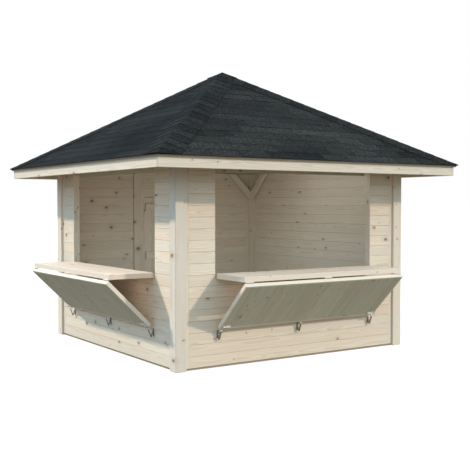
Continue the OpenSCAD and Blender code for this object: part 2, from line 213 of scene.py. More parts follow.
class Nodes:
    """The node tree of a material or a world, with the few nodes that the finishes share."""

    def __init__(self, owner):
        owner.use_nodes = True
        self.owner = owner
        self.tree = owner.node_tree

    @staticmethod
    def find(sockets, key):
        """A socket by its number, its identifier or its name."""
        if isinstance(key, int):
            return sockets[key]
        return next(s for s in sockets if key in (s.identifier, s.name))

    def feed(self, node, values):
        for key, value in values.items():
            socket = self.find(node.inputs, key)
            if isinstance(value, Socket):
                self.tree.links.new(value.output, socket)
            else:
                socket.default_value = value

    def node(self, kind, settings=None, values=None, out=0):
        """A new node: its settings first, then the values or links of its sockets."""
        made = self.tree.nodes.new("ShaderNode" + kind)
        for name, value in (settings or {}).items():
            setattr(made, name, value)
        self.feed(made, values or {})
        return Socket(self, self.find(made.outputs, out))

    def surface(self, **values):
        """Sets the main shader's sockets, named with _ for a space."""
        shader = self.tree.nodes["Principled BSDF"]
        self.feed(shader, {name.replace("_", " "): value for name, value in values.items()})
        return self.owner

    def attribute(self, name, out):
        return self.node("Attribute", {"attribute_name": name}, out=out)

    def split(self, vector):
        parts = self.node("SeparateXYZ", values={0: vector})
        return parts, parts.other("Y"), parts.other("Z")

    def stretch(self, vector, scale):
        return self.node("VectorMath", {"operation": "MULTIPLY"}, {0: vector, 1: scale})

    def noise(self, vector, scale, detail=2.0):
        return self.node("TexNoise", values={"Vector": vector, "Scale": scale, "Detail": detail})

    def cells(self, vector, scale, dimensions="3D"):
        values = {"Vector": vector, "Scale": scale}
        return self.node("TexVoronoi", {"voronoi_dimensions": dimensions}, values)

    def step(self, value, low, high):
        """Rises smoothly from 0 at low to 1 at high."""
        ramp = {"Value": value, "From Min": low, "From Max": high}
        return self.node("MapRange", {"interpolation_type": "SMOOTHSTEP"}, ramp)

    def mix(self, factor, first, second, blend="MIX"):
        """Goes from the first colour to the second one."""
        values = {"Factor_Float": factor, "A_Color": first, "B_Color": second}
        return self.node("Mix", {"data_type": "RGBA", "blend_type": blend}, values, "Result_Color")

    def bump(self, height, distance, strength):
        return self.node("Bump", values={"Height": height, "Distance": distance, "Strength": strength})


def finish(name):
    return Nodes(bpy.data.materials.new(name))


# Finishes

# Knots: how close they lie, how far their places reach along a log and round it, the share of places
# that stay clear, and the radius of the knots
FEW_KNOTS = 4.8
MANY_KNOTS = 8.5
KNOT_SQUEEZE = 0.65
KNOT_REACH = 0.075
KNOT_SHARE = 0.45
KNOT_LEAST = 1e-4
KNOT_SMALL = 0.005
KNOT_SPREAD = 0.015
KNOT_BROWN = (0.40, 0.29, 0.20, 1)
KNOT_DARK = (0.165, 0.115, 0.08, 1)
# Where a knot, its heart and the halo round it fade away, as shares of the knot's radius
KNOT_FADE = (0.6, 1)
HEART_FADE = (0.1, 0.8)
HALO_FADE = (0.7, 3)
# How dark the heart of a knot is, and a knot that died
HEART_DARK = 0.42
DEAD_DARK = 0.36
# How finely the parts of the grain vary along a log and round it
WANDER = (0.9, 5, 5)
FIBRE = (4, 300, 300)
STREAK = (1.6, 75, 75)
BAND = (0.5, 14, 14)
FLECK = (9, 120, 120)
SAW_MARKS = (260, 6, 6)
# Width of a ring, how far rings stray and bend round knots, and where late wood lies in one
RING_W = 0.0038
RING_STRAY = 0.03
RING_BEND = 0.008
LATE_RISE = (0.35, 0.9)
LATE_FALL = (0.92, 1)
STREAK_STEP = (0.5, 0.8)
FLECK_STEP = (0.6, 0.75)
# How the bands in a plank and its tone turn cream to peach
PEACH_BAND = 1.3
PEACH_TONE = 0.35
PEACH_STEP = (0.6, 1.1)
# How much of the late wood's colour rings, halos, streaks and flecks have
LATE_RING = 0.35
LATE_HALO = 0.45
LATE_STREAK = 0.4
LATE_FLECK = 0.2
# Lightness of the wood, and what planks, fibres, streaks and late wood change in it
LIGHT = 0.72
LIGHT_PLANK = 0.08
LIGHT_FIBRE = 0.2
LIGHT_STREAK = 0.26
LIGHT_LATE = 0.03
PLANK_SHUFFLE = 7
# Relief of fibres, late wood and knots, its height, and how rough the wood is
RELIEF_FIBRE = 0.4
RELIEF_LATE = 0.3
RELIEF_KNOT = 0.3
RELIEF_H = 0.0012
RELIEF_STRENGTH = 0.35
ROUGH = 0.52
ROUGH_FIBRE = 0.2
ROUGH_KNOT = 0.12


def spruce(name, cream, peach, late, knots=FEW_KNOTS, saw_marks=0):
    """Bare spruce: rings round the pith, streaks along the grain, knots, and a tone for each plank."""
    f = finish(name)
    grain = f.attribute("grain", "Vector")
    tone = f.attribute("tone", "Fac")
    along, across, out = f.split(grain)

    around = across.math("ARCTAN2", across, out)
    branches = f.node("CombineXYZ", values={"X": along * KNOT_SQUEEZE, "Y": around * KNOT_REACH})
    spot = f.cells(branches, knots, "2D")
    chance, size, dead = f.split(spot.other("Color"))
    radius = (chance > KNOT_SHARE) * (KNOT_SMALL + KNOT_SPREAD * size ** 3) + KNOT_LEAST
    off_knot = spot / knots

    def near_knot(fade):
        return 1 - f.step(off_knot, radius * fade[0], radius * fade[1])

    knot = near_knot(KNOT_FADE)
    heart = near_knot(HEART_FADE)
    halo = near_knot(HALO_FADE)

    wander = f.noise(f.stretch(grain, WANDER), 1)
    pith = (across * across + out * out) ** 0.5
    ring = ((pith + wander * RING_STRAY + halo * RING_BEND) / RING_W) % 1
    late_wood = f.step(ring, *LATE_RISE) * (1 - f.step(ring, *LATE_FALL))
    fibre = f.noise(f.stretch(grain, FIBRE), 1, 3)
    streak = f.noise(f.stretch(grain, STREAK), 1, 3)
    band = f.noise(f.stretch(grain, BAND), 1, 3)
    fleck = f.step(f.noise(f.stretch(grain, FLECK), 1), *FLECK_STEP)
    plank = (tone * PLANK_SHUFFLE) % 1
    light = LIGHT + LIGHT_PLANK * plank + LIGHT_FIBRE * fibre
    light = light + LIGHT_STREAK * streak - LIGHT_LATE * late_wood

    wood = f.mix(f.step(band * PEACH_BAND + tone * PEACH_TONE, *PEACH_STEP), cream, peach)
    streaky = f.step(streak, *STREAK_STEP) * LATE_STREAK + fleck * LATE_FLECK
    wood = f.mix(late_wood * LATE_RING + halo * LATE_HALO + streaky, wood, late)
    wood = f.mix(1, wood, light, "MULTIPLY")
    wood = f.mix(knot, wood, f.mix(heart * HEART_DARK + dead * DEAD_DARK, KNOT_BROWN, KNOT_DARK))

    relief = fibre * RELIEF_FIBRE + late_wood * RELIEF_LATE - knot * RELIEF_KNOT
    if saw_marks:
        relief = relief + f.noise(f.stretch(grain, SAW_MARKS), 1) * saw_marks
    return f.surface(
        Base_Color=wood,
        Roughness=ROUGH + ROUGH_FIBRE * fibre - ROUGH_KNOT * knot,
        Normal=f.bump(relief, RELIEF_H, RELIEF_STRENGTH),
    )


# Granules of the shingles: how fine they are, and their mottle, clumps and worn patches
GRIT = 420
MOTTLE = 14
CLUMP = 42
CLUMP_STEP = (0.12, 0.88)
WORN = (3, 9, 1)
GRANULE_DARK = (0.013, 0.0137, 0.0128, 1)
GRANULE_GREY = (0.033, 0.0338, 0.031, 1)
GRANULE_CHIP = (0.09, 0.0932, 0.0865, 1)
CHIP_STEP = (0.72, 1)
CUT_EDGE = (0.012, 0.012, 0.0115, 1)
# How far up a face looks that has granules
GRANULE_FACE = (0.5, 0.7)
# Shade of the granules from the tone of a tab, which carries its slope's painted light, and its wear
SHADE = 2.6
SHADE_TONE = 0.3
SHADE_WORN = 0.24
SHADE_LOSS = 0.07
# Roughness, gloss and relief of the granules
GRIT_ROUGH = 0.82
CHIP_ROUGH = 0.15
GRIT_GLOSS = 0.06
MOTTLE_RELIEF = 0.3
GRIT_H = 0.002
GRIT_STRENGTH = 0.6


def mineral_shingle():
    """Slate-coloured granules on bitumen, with a tone for each tab and black cut edges."""
    f = finish("mineral_shingle")
    place = f.attribute("grain", "Vector")
    tone = f.attribute("tone", "Fac")
    grit = f.cells(place, GRIT)
    chip, _, _ = f.split(grit.other("Color"))
    mottle = f.noise(place, MOTTLE, 4)
    clump = f.noise(place, CLUMP, 4)
    worn = f.noise(f.stretch(place, WORN), 1)
    _, _, up = f.split(f.node("NewGeometry", out="True Normal"))
    dark = f.mix(mottle, GRANULE_DARK, GRANULE_GREY)
    stone = f.mix(f.step(chip, *CHIP_STEP), dark, GRANULE_CHIP)
    shade = (SHADE_TONE * tone + SHADE_WORN * worn - SHADE_LOSS) * f.step(clump, *CLUMP_STEP) * SHADE
    stone = f.mix(1, stone, shade, "MULTIPLY")
    stone = f.mix(f.step(up, *GRANULE_FACE), CUT_EDGE, stone)
    return f.surface(
        Base_Color=stone,
        Roughness=GRIT_ROUGH + CHIP_ROUGH * chip,
        Specular_IOR_Level=GRIT_GLOSS,
        Normal=f.bump(grit * -1 + mottle * MOTTLE_RELIEF, GRIT_H, GRIT_STRENGTH),
    )


# How fine the spangle of zinc and its dull spots are, and what they do to colour and roughness
SPANGLE = 110
DULLNESS = 60
BRIGHT_FLAKE = 0.6
BRIGHT_SPOT = 0.4
ZINC_ROUGH = 0.5
SPOT_ROUGH = 0.15
FLAKE_ROUGH = 0.1
ZINC_METAL = 0.3
ZINC_H = 0.0004
ZINC_STRENGTH = 0.3


def galvanised(name, dark_zinc, bright_zinc):
    """Zinc-coated steel with a faint spangle."""
    f = finish(name)
    place = f.node("TexCoord", out="Object")
    flake, _, _ = f.split(f.cells(place, SPANGLE).other("Color"))
    dull = f.noise(place, DULLNESS, 3)
    zinc = f.mix(flake * BRIGHT_FLAKE + dull * BRIGHT_SPOT, dark_zinc, bright_zinc)
    return f.surface(
        Base_Color=zinc,
        Roughness=ZINC_ROUGH + SPOT_ROUGH * dull + FLAKE_ROUGH * flake,
        Metallic=ZINC_METAL,
        Normal=f.bump(dull, ZINC_H, ZINC_STRENGTH),
    )


CREAM = (0.775, 0.69, 0.555, 1)
PEACH = (0.785, 0.645, 0.49, 1)
LATE = (0.60, 0.465, 0.33, 1)
PLANED = spruce("planed_spruce", CREAM, PEACH, LATE)
TRIM = spruce(
    "trim_spruce", (0.775, 0.70, 0.565, 1), (0.775, 0.665, 0.52, 1), LATE, MANY_KNOTS)
# The trim's colours darkened for the front and back fascia, as painted shade for how the light falls on them
FASCIA_PAINTED_SHADE = spruce(
    "fascia_spruce_painted_shade", (0.715, 0.645, 0.52, 1), (0.715, 0.612, 0.478, 1), (0.55, 0.43, 0.305, 1))
# A greyer, darker copy for the post between the hatches, as painted shade for the light on its front face
PAINTED_SHADE_POST = spruce(
    "post_spruce_painted_shade", (0.69, 0.65, 0.555, 1), (0.69, 0.61, 0.505, 1), (0.54, 0.44, 0.335, 1), MANY_KNOTS)
# Beams darkened and turned olive as painted shade: the deep shade under the eaves
PAINTED_SHADE_BEAM = spruce(
    "beam_spruce_painted_shade", (0.46, 0.405, 0.285, 1), (0.45, 0.375, 0.25, 1), (0.34, 0.27, 0.175, 1))
COUNTER = spruce(
    "counter_spruce", (0.83, 0.71, 0.575, 1), (0.84, 0.665, 0.515, 1), LATE)
# Flap faces and head boards darkened and greened as painted shade: the dim light their shaded faces get
PAINTED_SHADE_PANEL = spruce(
    "panel_spruce_painted_shade", (0.56, 0.54, 0.435, 1), (0.525, 0.49, 0.385, 1), (0.42, 0.385, 0.29, 1), MANY_KNOTS)
# Sawn wood is rougher and darker than planed wood, and is darkened further as painted shade for the soffit
SAWN_AND_PAINTED_SHADE = spruce(
    "sawn_spruce", (0.35, 0.30, 0.215, 1), (0.35, 0.265, 0.18, 1), (0.27, 0.20, 0.13, 1), saw_marks=0.6)
SHINGLE = mineral_shingle()
ZINC = galvanised("bright_zinc", (0.50, 0.49, 0.44, 1), (0.76, 0.75, 0.70, 1))
# Hooks darkened to brown as painted shade: they hang in the shade of the flaps
PAINTED_SHADE_HOOK_ZINC = galvanised("dark_zinc", (0.15, 0.13, 0.10, 1), (0.30, 0.265, 0.215, 1))


# Solids

# Points nearer than this are one, and faces that turn less than this are one
WELD = 1e-5
FLAT = math.radians(1)
# Edges that are eased, and edges that stay sharp in the shading
SHARP = math.radians(30)
CREASE = math.radians(35)
# How far up a timber points that stands
STEEP = 0.9
# A place in a log for what has no grain
NO_GRAIN = (Vector(), 0.5)


def log(name, centre):
    """Where in a tree a plank is cut, so that its middle lies near the pith, and the plank's tone."""
    draw = random.Random(name)
    pith = draw.choice((-1, 1)) * draw.uniform(PITH_NEAR, PITH_FAR)
    place = Vector((draw.uniform(0, LOG_RUN), draw.uniform(-PITH_SIDE, PITH_SIDE), pith))
    return place - Vector(centre), draw.random()


class Solids:
    """Gathers closed solids into one mesh, with each point's place in its log and its tone."""

    def __init__(self):
        self.points = []
        self.faces = []
        self.grain = []
        self.tone = []

    def loft(self, place, rings, cut):
        """A solid through rings of local points. place puts a local point in the kiosk's frame."""
        first = len(self.points)
        count = len(rings[0])
        offset, tone = cut
        for ring in rings:
            for local in ring:
                self.points.append(place(local))
                self.grain.append(Vector(local) + offset)
                self.tone.append(tone)
        for level in range(len(rings) - 1):
            low = first + level * count
            for i in range(count):
                j = (i + 1) % count
                self.faces.append((low + i, low + j, low + count + j, low + count + i))
        self.faces.append(tuple(range(first + count - 1, first - 1, -1)))
        last = len(self.points) - count
        self.faces.append(tuple(range(last, last + count)))

    def plank(self, name, frame_of, low, high, chamfers=(EASE,) * 4, cut=None):
        """A plank between two local corners. The chamfers of its long edges, across and out, go from the
        low inner edge round to the low outer one. cut is its place in a log, if it has one already."""
        low = Vector(low)
        high = Vector(high)
        section = []
        signs = ((1, 1), (-1, 1), (-1, -1), (1, -1))
        corners = ((low.y, low.z), (high.y, low.z), (high.y, high.z), (low.y, high.z))
        for number, (corner, sign, chamfer) in enumerate(zip(corners, signs, chamfers)):
            across, out = chamfer if isinstance(chamfer, tuple) else (chamfer, chamfer)
            pair = [(corner[0] + sign[0] * across, corner[1]), (corner[0], corner[1] + sign[1] * out)]
            section += pair if number % 2 else pair[::-1]
        ease = min(EASE, (high.x - low.x) / 4)
        inset = [(min(max(a, low.y + ease), high.y - ease), min(max(o, low.z + ease), high.z - ease))
                 for a, o in section]
        stations = ((low.x, inset), (low.x + ease, section), (high.x - ease, section), (high.x, inset))
        rings = [[Vector((x, a, o)) for a, o in outline] for x, outline in stations]
        self.loft(lambda p: frame_of @ p, rings, cut or log(name, (low + high) / 2))

    def piece(self, name, material, body, *nodes):
        """The gathered solids as one piece that rides on a body and stands for CAD nodes."""
        mesh = bpy.data.meshes.new(name)
        mesh.from_pydata(self.points, [], self.faces)
        shape = bmesh.new()
        shape.from_mesh(mesh)
        bmesh.ops.recalc_face_normals(shape, faces=shape.faces)
        shape.to_mesh(mesh)
        shape.free()
        mesh.attributes.new("grain", "FLOAT_VECTOR", "POINT").data.foreach_set(
            "vector", [value for point in self.grain for value in point])
        mesh.attributes.new("tone", "FLOAT", "POINT").data.foreach_set("value", self.tone)
        return place_piece(name, mesh, material, body, *nodes)


def place_piece(name, mesh, material, body, *nodes):
    mesh.materials.clear()
    mesh.materials.append(material)
    piece = bpy.data.objects.new(name, mesh)
    bpy.context.scene.collection.objects.link(piece)
    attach(piece, body)
    if nodes:
        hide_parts(*nodes)
    return piece


def islands(shape):
    """The separate solids of a mesh, each as a list of its points, in the mesh's own order."""
    shape.verts.index_update()
    seen = set()
    for first in shape.verts:
        if first in seen:
            continue
        found = {first}
        edge = found
        while edge:
            edge = {e.other_vert(v) for v in edge for e in v.link_edges} - found
            found = found | edge
        seen |= found
        yield sorted(found, key=lambda v: v.index)


def long_axes(points):
    """The frame of a timber: along its longest edge, across its width and out through its thickness."""
    edges = [e for v in points for e in v.link_edges]
    longest = max(edges, key=lambda e: e.calc_length())
    along = (longest.verts[1].co - longest.verts[0].co).normalized()
    up = Vector((0, 0, 1)) if abs(along.z) < STEEP else Vector((0, 1, 0))
    across = (up - along * up.dot(along)).normalized()
    out = along.cross(across)
    reach = [[v.co.dot(axis) for v in points] for axis in (across, out)]
    across_w, out_w = [max(r) - min(r) for r in reach]
    return Matrix((along, across, out) if out_w < across_w + TIGHT else (along, out, across))


def dress(node, material, body, ease=EASE, segments=2, chosen=None, name=None):
    """A copy of a CAD node, or of its chosen solids, with eased edges, each one cut from its own log."""
    shape = bmesh.new()
    shape.from_mesh(frame["nodes"][node].data)
    bmesh.ops.remove_doubles(shape, verts=shape.verts, dist=WELD)
    bmesh.ops.dissolve_limit(shape, angle_limit=FLAT, verts=shape.verts, edges=shape.edges)
    axes = []
    mark = shape.verts.layers.int.new("solid")
    for number, points in enumerate(islands(shape)):
        turn = long_axes(points)
        middle = turn @ (sum((v.co for v in points), Vector()) / len(points))
        axes.append((turn, *log(f"{node} {number}", middle)))
        for v in points:
            v[mark] = number
    if chosen:
        others = [v for points in islands(shape) if not chosen(points) for v in points]
        bmesh.ops.delete(shape, geom=others, context="VERTS")
    sharp = [e for e in shape.edges if e.is_manifold and e.calc_face_angle() > SHARP]
    bmesh.ops.bevel(shape, geom=sharp, offset=ease, segments=segments, affect="EDGES", clamp_overlap=True)
    grain = shape.verts.layers.float_vector.new("grain")
    tone = shape.verts.layers.float.new("tone")
    for points in islands(shape):
        turn, offset, shade = axes[points[0][mark]]
        for v in points:
            v[grain] = turn @ v.co + offset
            v[tone] = shade
    mesh = bpy.data.meshes.new(node)
    shape.to_mesh(mesh)
    shape.free()
    mesh.shade_smooth()
    mesh.set_sharp_from_angle(angle=CREASE)
    return place_piece(name or f"{node}_dressed", mesh, material, body, node)


# Places

SIDES = {"front": 0, "left": -90, "back": 180, "right": 90}
# Along, across and out as axes of the front: boards that lie along a wall, and boards that stand in it
LYING = Matrix(((1, 0, 0, 0), (0, 0, -1, 0), (0, 1, 0, 0), (0, 0, 0, 1)))
STANDING = Matrix(((0, -1, 0, 0), (0, 0, -1, 0), (1, 0, 0, 0), (0, 0, 0, 1)))
# Boards on a flat panel that run from its back to its front
CROSSWISE = Matrix(((0, -1, 0, 0), (1, 0, 0, 0), (0, 0, 1, 0), (0, 0, 0, 1)))


def turned(side):
    """Turns what is made for the front round to another side."""
    return Matrix.Rotation(math.radians(SIDES[side]), 4, "Z")


def extent(node, frame_of):
    """Lowest and highest corner of a CAD node, in a local frame."""
    home = frame_of.inverted()
    points = [home @ v.co for v in frame["nodes"][node].data.vertices]
    return [Vector([pick(p[i] for p in points) for i in range(3)]) for pick in (min, max)]


def node_solids(node, frame_of):
    """The points of each solid of a CAD node, in a local frame."""
    shape = bmesh.new()
    shape.from_mesh(frame["nodes"][node].data)
    bmesh.ops.remove_doubles(shape, verts=shape.verts, dist=WELD)
    home = frame_of.inverted()
    found = [[home @ v.co for v in points] for points in islands(shape)]
    shape.free()
    return found


def midway(values):
    values = list(values)
    return (min(values) + max(values)) / 2


def square(half, level):
    """Corners of a level square round the kiosk's middle."""
    return [(x * half, y * half, level) for x, y in ((-1, -1), (1, -1), (1, 1), (-1, 1))]


# Joints this near to an end, as a share of a step, are that end
SLACK = 1e-6


def board_edges(low, high, start, step):
    """Lower and upper edges of boards from low to high, with joints on a regular step from start."""
    first = math.floor((low - start) / step + SLACK) + 1
    last = math.ceil((high - start) / step - SLACK)
    levels = [low] + [start + i * step for i in range(first, last)] + [high]
    return list(zip(levels, levels[1:]))


# Walls

BOARD_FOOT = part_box("front_apron")[0].z
POST_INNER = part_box("front_apron")[1].x
GROOVE = (GROOVE_W, GROOVE_D)
INNER_GROOVE = (INNER_GROOVE_W, INNER_GROOVE_D)


def wall_boards(solids, side, node, linings=()):
    """Boards of one wall panel, from edge to edge on the wall's own levels, with a stile at each post."""
    lying = turned(side) @ LYING
    low, high = extent(node, lying)
    ends = [low.x, high.x]
    for end, inward in ((0, 1), (1, -1)):
        if abs(abs(ends[end]) - POST_INNER) < EASE:
            kind, width = "stile", STILE_W
        elif end in linings:
            kind, width = "lining", LINING_T
        else:
            continue
        reach = sorted((ends[end], ends[end] + inward * width))
        wall_stile(solids, side, f"{node} {kind} {end}", reach, low, high)
        ends[end] += inward * width
    for bottom, top in board_edges(low.y, high.y, BOARD_FOOT, BOARD_COVER):
        number = math.floor(((bottom + top) / 2 - BOARD_FOOT) / BOARD_COVER)
        middle = BOARD_FOOT + (number + 0.5) * BOARD_COVER
        has_under = bottom > low.y or number == 0
        has_over = top < high.y
        cut = log(f"{side} board {number}", (0, middle, (low.z + high.z) / 2))
        joints = [groove if wanted else TIGHT for wanted, groove in (
            (has_under, INNER_GROOVE), (has_over, INNER_GROOVE), (has_over, GROOVE), (has_under, GROOVE))]
        solids.plank("", lying, (ends[0], bottom, low.z), (ends[1], top, high.z), joints, cut)


def wall_stile(solids, side, name, reach, low, high):
    """An upright strip through the whole thickness of a wall panel."""
    solids.plank(name, turned(side) @ STANDING, (low.y, -reach[1], low.z), (high.y, -reach[0], high.z))


def build_walls():
    panels = (
        ("front", "front_apron", ()),
        ("front", "front_left_panel", (1,)),
        ("front", "front_right_panel", (0,)),
        ("left", "left_apron", ()),
        ("left", "left_front_panel", (0,)),
        ("left", "left_back_panel", (1,)),
        ("right", "right_wall", ()),
        ("back", "back_left_wall", ()),
        ("back", "back_right_wall", ()),
        ("back", "over_door_panel", ()),
    )
    for side, node, linings in panels:
        solids = Solids()
        wall_boards(solids, side, node, linings)
        solids.piece(f"{node}_boards", PLANED, "house", node)


# Floor and frame

def build_floor():
    low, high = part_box("floor")
    inner = min(abs(v.co.x) for v in frame["nodes"]["floor"].data.vertices)
    solids = Solids()
    for bottom, top in ((low.y, -inner), (inner, high.y)):
        solids.plank(f"floor edge {top}", Matrix(), (-inner, bottom, low.z), (inner, top, high.z))
    for number, (bottom, top) in enumerate(board_edges(-inner, inner, -inner, FLOOR_BOARD)):
        solids.plank(f"floor {number}", Matrix(), (low.x, bottom, low.z), (high.x, top, high.z))
    solids.piece("floor_boards", SAWN_AND_PAINTED_SHADE, "house", "floor")


def is_shaded_post(points):
    """Tells the post between the two hatches, which takes a greyer finish as painted shade, from the other posts.
    """
    return all(v.co.x < 0 and v.co.y < 0 for v in points)


def build_frame():
    # The post between the hatches takes the greyer finish of painted shade
    dress("corner_posts", PAINTED_SHADE_POST, "house", ROUNDED, chosen=is_shaded_post, name="front_left_post")
    dress("corner_posts", TRIM, "house", ROUNDED,
          chosen=lambda points: not is_shaded_post(points), name="other_posts")
    # The beams take the finish that is darkened as painted shade under the eaves
    for node in ("front_back_beams", "side_beams"):
        dress(node, PAINTED_SHADE_BEAM, "house", ROUNDED)
    dress("door_posts", PLANED, "house", ROUNDED)
    # The front and back fascia take the trim darkened as painted shade
    dress("front_back_fascia", FASCIA_PAINTED_SHADE, "house", ROUNDED)
    dress("side_fascia", PLANED, "house", ROUNDED)
    for node in ("hatch_studs", "knee_braces", "threshold"):
        dress(node, TRIM, "house", ROUNDED)
    # These take the sawn finish, which carries painted shade for the soffit
    for node in ("ground_sleepers", "floor_joists", "hip_rafters", "jack_rafters"):
        dress(node, SAWN_AND_PAINTED_SHADE, "house")


# Roof

COVER = [v.co for v in frame["nodes"]["front_shingles"].data.vertices]
EAVE = -min(p.y for p in COVER)
PEAK = max(p.z for p in COVER)
EAVE_TOP = max(p.z for p in COVER if p.y < TIGHT - EAVE)
PITCH = math.atan2(PEAK - EAVE_TOP, EAVE)
SLOPE_L = EAVE / math.cos(PITCH)

# How light each slope's tabs are, its painted light and shade for how the sun falls on it, and how
# much the strips that they were cut in, the patches of a slope and the tabs themselves differ
SLOPE_PAINTED_LIGHT = {"front": 1.12, "left": 0.63, "back": 0.95, "right": 0.95}
STRIP_TABS = 3
STRIP_SPREAD = 0.3
PATCH_SPREAD = 1.2
PATCH_W = 1.0
PATCH_H = 0.4
TAB_SPREAD = 0.08


def slope_frame(side):
    """Along the eave, up the slope and out of it, from the middle of the eave's upper edge."""
    return turned(side) @ Matrix.Translation((0, -EAVE, EAVE_TOP)) @ Matrix.Rotation(PITCH, 4, "X")


def hip_reach(up, out):
    """Distance from a slope's middle to its hips."""
    return max(EAVE - up * math.cos(PITCH) + out * math.sin(PITCH), TIGHT)


def layer_depth(node):
    """Thickness of a layer of the front slope, measured square to it."""
    points = [v.co for v in frame["nodes"][node].data.vertices]
    at_eave = [p.z for p in points if p.y < TIGHT - EAVE]
    return (max(at_eave) - min(at_eave)) * math.cos(PITCH)


def build_deck(side):
    """Roof boards along the eave, mitred at the hips, with grooves underneath."""
    node = f"{side}_roof_boards"
    place = slope_frame(side)
    outer = -layer_depth("front_shingles")
    inner = outer - layer_depth("front_roof_boards")
    solids = Solids()
    for number, (bottom, top) in enumerate(board_edges(0, SLOPE_L, 0, DECK_BOARD)):
        rings = []
        for out, trim in ((inner, GROOVE_W), (inner + GROOVE_W, 0), (outer, 0)):
            lower = bottom + trim if number else DECK_SET + out * math.tan(PITCH)
            upper = top - trim
            rings.append([
                (-hip_reach(lower, out), lower, out), (hip_reach(lower, out), lower, out),
                (hip_reach(upper, out), upper, out), (-hip_reach(upper, out), upper, out),
            ])
        middle = (0, (bottom + top) / 2, (inner + outer) / 2)
        solids.loft(lambda p: place @ Vector(p), rings, log(f"{node} {number}", middle))
    solids.piece(f"{node}_planks", SAWN_AND_PAINTED_SHADE, "house", node)


def clip(outline, keep):
    """The part of an outline where keep is not negative."""
    kept = []
    for here, there in zip(outline, outline[1:] + outline[:1]):
        a = keep(here)
        b = keep(there)
        if a >= 0:
            kept.append(here)
        if a * b < 0:
            t = a / (a - b)
            kept.append((here[0] + t * (there[0] - here[0]), here[1] + t * (there[1] - here[1])))
    return kept


def shingle_tab(solids, place, name, left, right, low, lift, tone):
    """One tab, clipped at the hips, its lower edge lifted by the course beneath it."""
    high = min(low + EXPOSURE + TAB_LAP, SLOPE_L)
    outline = [(left, low), (right, low), (right, high), (left, high)]
    for side in (-1, 1):
        outline = clip(outline, lambda p: hip_reach(p[1], 0) - side * p[0])
        if len(outline) < 3:
            return
    draw = random.Random(name)
    curl = draw.uniform(*TAB_CURL)
    shade = tone + TAB_SPREAD * draw.uniform(-1, 1)

    def top(p):
        return lift * curl * (1 - (p[1] - low) / (EXPOSURE + TAB_LAP)) - TAB_T / 2

    rings = [[(u, v, top((u, v)) - drop) for u, v in outline] for drop in (TAB_T, 0)]
    offset = Vector((draw.uniform(0, SHEET_RUN), draw.uniform(0, SHEET_RUN), 0))
    solids.loft(lambda p: place @ Vector(p), rings, (offset, shade))


def strip_tone(side, course, number, left, low):
    """How pale the strip of tabs is that a tab was cut in, on its patch of its slope, times its slope's painted
    light.
    """
    strip = random.Random(f"{side} {course} strip {(number + course) // STRIP_TABS}").uniform(-1, 1)
    patch = noise.noise(Vector((left / PATCH_W, low / PATCH_H, SIDES[side])))
    return SLOPE_PAINTED_LIGHT[side] * (1 + STRIP_SPREAD * strip + PATCH_SPREAD * patch)


def build_shingles(side):
    node = f"{side}_shingles"
    place = slope_frame(side)
    solids = Solids()
    reach = EAVE + TAB_W
    tabs = math.ceil(reach / TAB_W)
    for course in range(math.ceil(SLOPE_L / EXPOSURE)):
        low = course * EXPOSURE + EAVE_SET
        shift = TAB_W / 2 * (course % 2)
        for number in range(-tabs, tabs):
            left = number * TAB_W + shift + TAB_SLOT / 2
            right = left + TAB_W - TAB_SLOT
            tone = strip_tone(side, course, number, left, low)
            shingle_tab(solids, place, f"{side} {course} {number}", left, right, low, TAB_LIFT, tone)
    shingle_tab(solids, place, f"{side} starter", -reach, reach, STARTER_SET + EAVE_SET, 0, SLOPE_PAINTED_LIGHT[side])
    solids.piece(f"{node}_tabs", SHINGLE, "house", node)


def hip_place(side):
    """Bends along, across and out over the hip at the left end of a side's slope."""
    right = slope_frame(side)
    left = slope_frame(list(SIDES)[(list(SIDES).index(side) + 1) % 4])
    run = math.hypot(1, math.cos(PITCH))

    def place(p):
        along, across, out = p
        aside = abs(across) / run
        reach = along * math.cos(PITCH) / run - EAVE + aside
        up = max((along - aside * math.cos(PITCH) * run) / run, EAVE_SET)
        if across >= 0:
            return right @ Vector((reach, up, out))
        return left @ Vector((-reach, up, out))

    return place


def hip_cap(solids, place, name, start, length, wing):
    """A cap folded over a hip, its lower end lifted by the cap beneath it."""
    draw = random.Random(name)
    wing = wing - draw.uniform(0, CAP_TRIM)
    across = [-wing, -wing / 3, -CAP_FOLD, 0, CAP_FOLD, wing / 3, wing]
    rings = []
    for along in (start, start + length / 2, start + length):
        lift = CAP_LIFT * (1 - (along - start) / length)
        under = [(along, a, lift + CAP_BED[i]) for i, a in enumerate(across)]
        top = [(x, a, out + TAB_T) for x, a, out in under]
        rings.append(top + under[::-1])
    offset = Vector((draw.uniform(0, SHEET_RUN), draw.uniform(0, SHEET_RUN), 0))
    solids.loft(place, rings, (offset, draw.uniform(*CAP_TONES)))


def peak_cap(solids):
    """Four folded faces over the ends of the hip caps."""
    rings = []
    for half, drop in ((PEAK_CAP_W, TAB_T), (PEAK_CAP_W, 0), (TAB_T, 0)):
        rings.append(square(half, PEAK + PEAK_CAP_RISE - half * math.tan(PITCH) - drop))
    solids.loft(Vector, rings, (Vector(), PEAK_CAP_TONE))


def build_hips():
    solids = Solids()
    hip_l = math.hypot(EAVE * math.sqrt(2), PEAK - EAVE_TOP)
    for side in SIDES:
        place = hip_place(side)
        count = math.floor(hip_l / CAP_EXPOSURE)
        for number in range(count):
            start = number * CAP_EXPOSURE + EAVE_SET
            length = min(CAP_L, hip_l - start - TIGHT)
            hip_cap(solids, place, f"{side} cap {number}", start, length, CAP_WING)
    peak_cap(solids)
    solids.piece("hip_caps", SHINGLE, "house")


# Serving hatches

HEAD_DROP = 0.112
HEAD_LAP = 0.03
HEAD_T = 0.02


